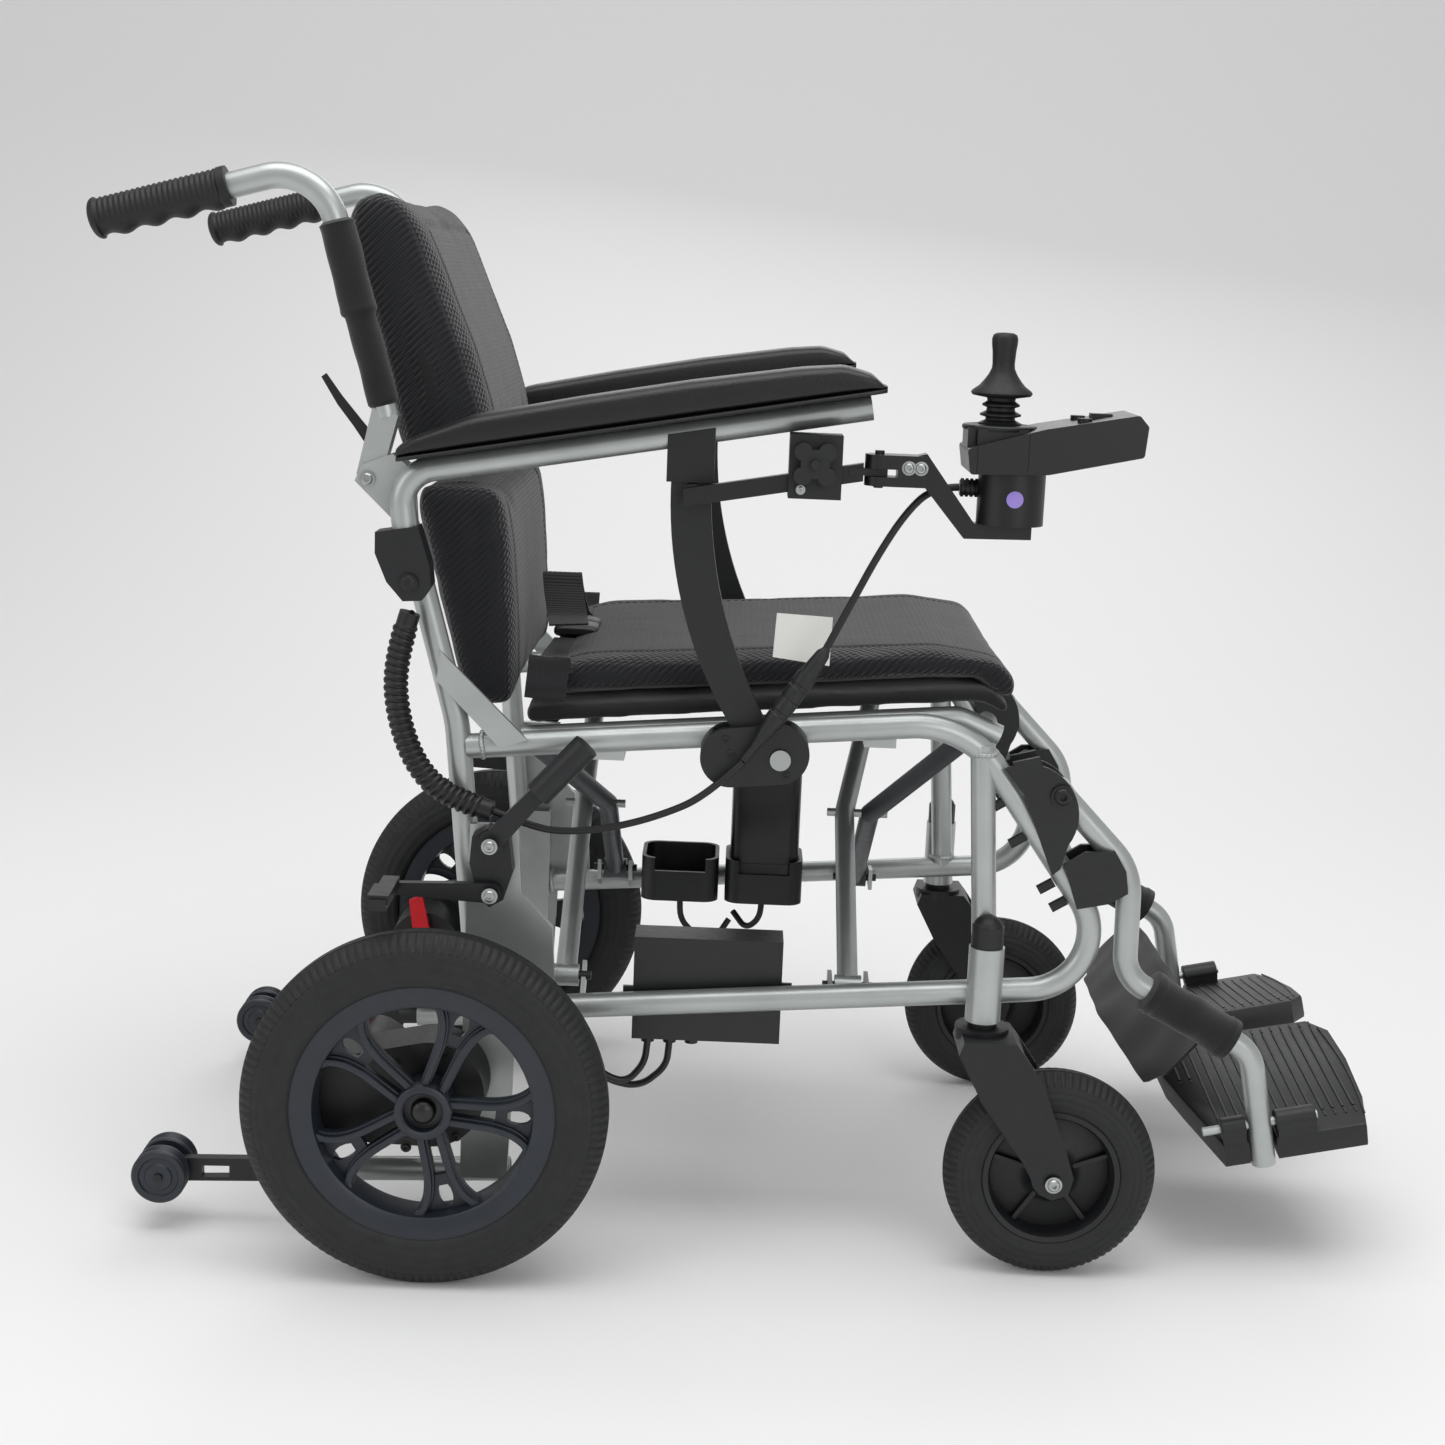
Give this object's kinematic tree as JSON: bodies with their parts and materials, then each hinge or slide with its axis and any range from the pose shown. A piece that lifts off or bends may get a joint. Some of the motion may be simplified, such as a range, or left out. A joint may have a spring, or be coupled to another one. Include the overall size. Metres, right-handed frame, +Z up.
{
  "type": "power wheelchair",
  "caption": "Folding powered wheelchair with a cross brace, fold-down back, lifting armrests, swing-away joystick, elevating legrests and flip-up footplates.",
  "frame": {"origin": "middle of the bounding box on the floor, on the middle plane", "axes": "+X forward, +Y to the user's left, +Z up"},
  "size_m": [1.1616, 0.672, 0.9498],
  "materials": {
    "aluminium_frame": "satin silver lacquer over aluminium tube",
    "black_plastic": "moulded black plastic, fine grain",
    "black_steel": "black powder coat",
    "bolt_steel": "zinc plated steel",
    "cable_jacket": "black cable jacket",
    "grip_rubber": "ribbed soft rubber",
    "mesh_fabric": "black spacer mesh",
    "pad_vinyl": "grained black vinyl",
    "red_plastic": "bright red moulding",
    "tyre_rubber": "moulded tyre rubber",
    "webbing": "black woven webbing",
    "wheel_slate": "moulded glass-filled plastic, slate black"
  },
  "bodies": {
    "right_frame": {"right_side_frame": "aluminium_frame", "right_frame_fittings": "black_plastic", "right_drive_motor": "black_steel", "controller_box": "black_plastic", "frame_lead": "cable_jacket", "harness_cord": "cable_jacket", "back_pad_lower": "mesh_fabric"},
    "brace_a": {"cross_brace_a": "aluminium_frame"},
    "brace_b": {"cross_brace_b": "aluminium_frame"},
    "left_frame": {"left_side_frame": "aluminium_frame", "left_frame_fittings": "black_plastic", "left_drive_motor": "black_steel"},
    "seat": {"seat_cushion": "mesh_fabric", "lap_belt": "webbing"},
    "right_push_handle": {"right_push_handle": "aluminium_frame", "right_handle_grip": "grip_rubber", "back_pad_upper": "mesh_fabric"},
    "right_back_latch": {"right_back_latch": "black_steel"},
    "right_armrest": {"right_armrest_frame": "aluminium_frame", "right_armrest_pad": "pad_vinyl", "joystick_lead": "cable_jacket"},
    "right_armrest_button": {"right_armrest_button": "bolt_steel"},
    "right_drive_wheel": {"right_drive_wheel": "wheel_slate", "right_drive_tyre": "tyre_rubber"},
    "right_caster_fork": {"right_caster_fork": "black_steel"},
    "right_caster_wheel": {"right_caster_wheel": "wheel_slate", "right_caster_tyre": "tyre_rubber"},
    "right_legrest": {"right_legrest_hanger": "aluminium_frame", "calf_strap": "mesh_fabric"},
    "right_footplate": {"right_footplate": "black_plastic"},
    "right_brake_lever": {"right_brake_lever": "black_plastic"},
    "right_brake_shoe": {"right_brake_shoe": "black_plastic"},
    "right_freewheel_lever": {"right_freewheel_lever": "red_plastic"},
    "right_antitip_wheels": {"right_antitip_wheels": "wheel_slate"},
    "left_push_handle": {"left_push_handle": "aluminium_frame", "left_handle_grip": "grip_rubber"},
    "left_back_latch": {"left_back_latch": "black_steel"},
    "left_armrest": {"left_armrest_frame": "aluminium_frame", "left_armrest_pad": "pad_vinyl"},
    "left_armrest_button": {"left_armrest_button": "bolt_steel"},
    "left_drive_wheel": {"left_drive_wheel": "wheel_slate", "left_drive_tyre": "tyre_rubber"},
    "left_caster_fork": {"left_caster_fork": "black_steel"},
    "left_caster_wheel": {"left_caster_wheel": "wheel_slate", "left_caster_tyre": "tyre_rubber"},
    "left_legrest": {"left_legrest_hanger": "aluminium_frame"},
    "left_footplate": {"left_footplate": "black_plastic"},
    "left_brake_lever": {"left_brake_lever": "black_plastic"},
    "left_brake_shoe": {"left_brake_shoe": "black_plastic"},
    "left_freewheel_lever": {"left_freewheel_lever": "red_plastic"},
    "left_antitip_wheels": {"left_antitip_wheels": "wheel_slate"},
    "battery": {"battery_pack": "black_plastic"},
    "joystick_bar": {"joystick_bar": "black_steel"},
    "clamp_knob": {"clamp_knob": "black_plastic"},
    "joystick": {"joystick_housing": "black_plastic"},
    "joystick_gimbal": {"joystick_gimbal": "black_plastic"},
    "joystick_stick": {"joystick_stick": "grip_rubber"},
    "power_button": {"power_button": "black_plastic"},
    "horn_button": {"horn_button": "black_plastic"},
    "speed_rocker": {"speed_rocker": "black_plastic"}
  },
  "joints": [
    {"name": "frame_fold", "type": "hinge", "parent": "right_frame", "child": "brace_a", "pos_m": [0.09362, -0.188, 0.244], "axis": [1, 0, 0], "range_deg": [0, 45], "deforming": ["seat_cushion", "back_pad_lower", "back_pad_upper", "calf_strap", "lap_belt"]},
    {"name": "brace_scissor", "type": "hinge", "parent": "brace_a", "child": "brace_b", "pos_m": [0.09362, 0, 0.36], "axis": [1, 0, 0], "range_deg": [-90, 0]},
    {"name": "frame_parallel", "type": "hinge", "parent": "brace_b", "child": "left_frame", "pos_m": [0.11862, 0.188, 0.244], "axis": [1, 0, 0], "range_deg": [0, 45]},
    {"name": "seat_rise", "type": "slide", "parent": "right_frame", "child": "seat", "axis": [0, 0, 1], "range_m": [0, 0.19791]},
    {"name": "right_back_fold", "type": "hinge", "parent": "right_frame", "child": "right_push_handle", "pos_m": [-0.33938, -0.213, 0.69], "axis": [0, -1, 0], "range_deg": [0, 98]},
    {"name": "right_latch_pull", "type": "hinge", "parent": "right_push_handle", "child": "right_back_latch", "pos_m": [-0.33438, -0.196, 0.716], "axis": [0, 1, 0], "range_deg": [0, 12], "stiffness_Nm_per_rad": 0.4, "springref_deg": -11.46},
    {"name": "right_armrest_lift", "type": "hinge", "parent": "right_frame", "child": "right_armrest", "pos_m": [-0.29938, -0.24, 0.606], "axis": [0, -1, 0], "range_deg": [0, 90]},
    {"name": "right_armrest_release", "type": "slide", "parent": "right_frame", "child": "right_armrest_button", "axis": [0, 1, 0], "range_m": [0, 0.003], "stiffness_N_per_m": 300},
    {"name": "right_wheel_spin", "type": "hinge", "parent": "right_frame", "child": "right_drive_wheel", "pos_m": [-0.27238, -0.309, 0.159], "axis": [0, 1, 0], "continuous": true},
    {"name": "right_caster_swivel", "type": "hinge", "parent": "right_frame", "child": "right_caster_fork", "pos_m": [0.21262, -0.2287, 0.26], "axis": [0, 0, 1], "continuous": true},
    {"name": "right_caster_spin", "type": "hinge", "parent": "right_caster_fork", "child": "right_caster_wheel", "pos_m": [0.27962, -0.237, 0.095], "axis": [0, 1, 0], "continuous": true},
    {"name": "right_legrest_lift", "type": "hinge", "parent": "right_frame", "child": "right_legrest", "pos_m": [0.26962, -0.213, 0.438], "axis": [0, -1, 0], "range_deg": [0, 60]},
    {"name": "right_footplate_flip", "type": "hinge", "parent": "right_legrest", "child": "right_footplate", "pos_m": [0.47162, -0.213, 0.138], "axis": [0.9781, 0, 0.2079], "range_deg": [0, 78]},
    {"name": "right_brake_pull", "type": "hinge", "parent": "right_frame", "child": "right_brake_lever", "pos_m": [-0.22538, -0.256, 0.382], "axis": [0, 1, 0], "range_deg": [0, 35]},
    {"name": "right_brake_press", "type": "hinge", "parent": "right_frame", "child": "right_brake_shoe", "pos_m": [-0.22438, -0.256, 0.338], "axis": [0, -1, 0], "range_deg": [0, 15]},
    {"name": "right_clutch_turn", "type": "hinge", "parent": "right_frame", "child": "right_freewheel_lever", "pos_m": [-0.33938, -0.16, 0.153], "axis": [0, 1, 0], "range_deg": [0, 60]},
    {"name": "right_antitip_spin", "type": "hinge", "parent": "right_frame", "child": "right_antitip_wheels", "pos_m": [-0.52238, -0.213, 0.053], "axis": [0, 1, 0], "continuous": true},
    {"name": "left_back_fold", "type": "hinge", "parent": "left_frame", "child": "left_push_handle", "pos_m": [-0.33938, 0.213, 0.69], "axis": [0, -1, 0], "range_deg": [0, 98.01]},
    {"name": "left_latch_pull", "type": "hinge", "parent": "left_push_handle", "child": "left_back_latch", "pos_m": [-0.33438, 0.196, 0.716], "axis": [0, 1, 0], "range_deg": [0, 12], "stiffness_Nm_per_rad": 0.4, "springref_deg": -11.46},
    {"name": "left_armrest_lift", "type": "hinge", "parent": "left_frame", "child": "left_armrest", "pos_m": [-0.29938, 0.24, 0.606], "axis": [0, -1, 0], "range_deg": [0, 90]},
    {"name": "left_armrest_release", "type": "slide", "parent": "left_frame", "child": "left_armrest_button", "axis": [0, -1, 0], "range_m": [0, 0.003], "stiffness_N_per_m": 300},
    {"name": "left_wheel_spin", "type": "hinge", "parent": "left_frame", "child": "left_drive_wheel", "pos_m": [-0.27238, 0.309, 0.159], "axis": [0, 1, 0], "continuous": true},
    {"name": "left_caster_swivel", "type": "hinge", "parent": "left_frame", "child": "left_caster_fork", "pos_m": [0.21262, 0.2287, 0.26], "axis": [0, 0, 1], "continuous": true},
    {"name": "left_caster_spin", "type": "hinge", "parent": "left_caster_fork", "child": "left_caster_wheel", "pos_m": [0.27962, 0.237, 0.095], "axis": [0, 1, 0], "continuous": true},
    {"name": "left_legrest_lift", "type": "hinge", "parent": "left_frame", "child": "left_legrest", "pos_m": [0.26962, 0.213, 0.438], "axis": [0, -1, 0], "range_deg": [0, 60.01]},
    {"name": "left_footplate_flip", "type": "hinge", "parent": "left_legrest", "child": "left_footplate", "pos_m": [0.47162, 0.213, 0.138], "axis": [-0.9781, 0, -0.2079], "range_deg": [0, 78]},
    {"name": "left_brake_pull", "type": "hinge", "parent": "left_frame", "child": "left_brake_lever", "pos_m": [-0.22538, 0.256, 0.382], "axis": [0, 1, 0], "range_deg": [0, 35]},
    {"name": "left_brake_press", "type": "hinge", "parent": "left_frame", "child": "left_brake_shoe", "pos_m": [-0.22438, 0.256, 0.338], "axis": [0, -1, 0], "range_deg": [0, 15]},
    {"name": "left_clutch_turn", "type": "hinge", "parent": "left_frame", "child": "left_freewheel_lever", "pos_m": [-0.33938, 0.16, 0.153], "axis": [0, 1, 0], "range_deg": [0, 60]},
    {"name": "left_antitip_spin", "type": "hinge", "parent": "left_frame", "child": "left_antitip_wheels", "pos_m": [-0.52238, 0.213, 0.053], "axis": [0, 1, 0], "continuous": true},
    {"name": "battery_slide", "type": "slide", "parent": "left_frame", "child": "battery", "axis": [0, 0, 1], "range_m": [0, 0.045]},
    {"name": "bar_slide", "type": "slide", "parent": "right_armrest", "child": "joystick_bar", "axis": [0.9839, 0, 0.1788], "range_m": [0, 0.05]},
    {"name": "knob_turn", "type": "hinge", "parent": "right_armrest", "child": "clamp_knob", "pos_m": [0.03862, -0.28, 0.722], "axis": [0, 1, 0], "range_deg": [0, 180]},
    {"name": "joystick_swing", "type": "hinge", "parent": "joystick_bar", "child": "joystick", "pos_m": [0.09262, -0.262, 0.72], "axis": [0, 0, -1], "range_deg": [0, 90]},
    {"name": "stick_fore_aft", "type": "hinge", "parent": "joystick", "child": "joystick_gimbal", "pos_m": [0.19062, -0.262, 0.745], "axis": [0, 1, 0], "range_deg": [-15, 15], "stiffness_Nm_per_rad": 0.3},
    {"name": "stick_side", "type": "hinge", "parent": "joystick_gimbal", "child": "joystick_stick", "pos_m": [0.19062, -0.262, 0.745], "axis": [1, 0, 0], "range_deg": [-15, 15], "stiffness_Nm_per_rad": 0.3},
    {"name": "power_press", "type": "slide", "parent": "joystick", "child": "power_button", "axis": [0, 0, -1], "range_m": [0, 0.0015], "stiffness_N_per_m": 300},
    {"name": "horn_press", "type": "slide", "parent": "joystick", "child": "horn_button", "axis": [0, 0, -1], "range_m": [0, 0.0015], "stiffness_N_per_m": 300},
    {"name": "rocker_tilt", "type": "hinge", "parent": "joystick", "child": "speed_rocker", "pos_m": [0.27362, -0.262, 0.7675], "axis": [0, 1, 0], "range_deg": [-6, 6], "stiffness_Nm_per_rad": 0.05}
  ],
  "couplings": [
    {"joint": "brace_scissor", "follows": "frame_fold", "ratio": -2},
    {"joint": "frame_parallel", "follows": "frame_fold", "ratio": 1},
    {"joint": "seat_rise", "follows": "frame_fold", "m_per_rad": 0.25197},
    {"joint": "right_footplate_flip", "follows": "frame_fold", "ratio": 1.7333},
    {"joint": "right_brake_press", "follows": "right_brake_pull", "ratio": 0.42856},
    {"joint": "left_footplate_flip", "follows": "frame_fold", "ratio": 1.7333},
    {"joint": "left_brake_press", "follows": "left_brake_pull", "ratio": 0.42856},
    {"joint": "left_back_fold", "follows": "right_back_fold", "ratio": 1},
    {"joint": "left_legrest_lift", "follows": "right_legrest_lift", "ratio": 1}
  ]
}
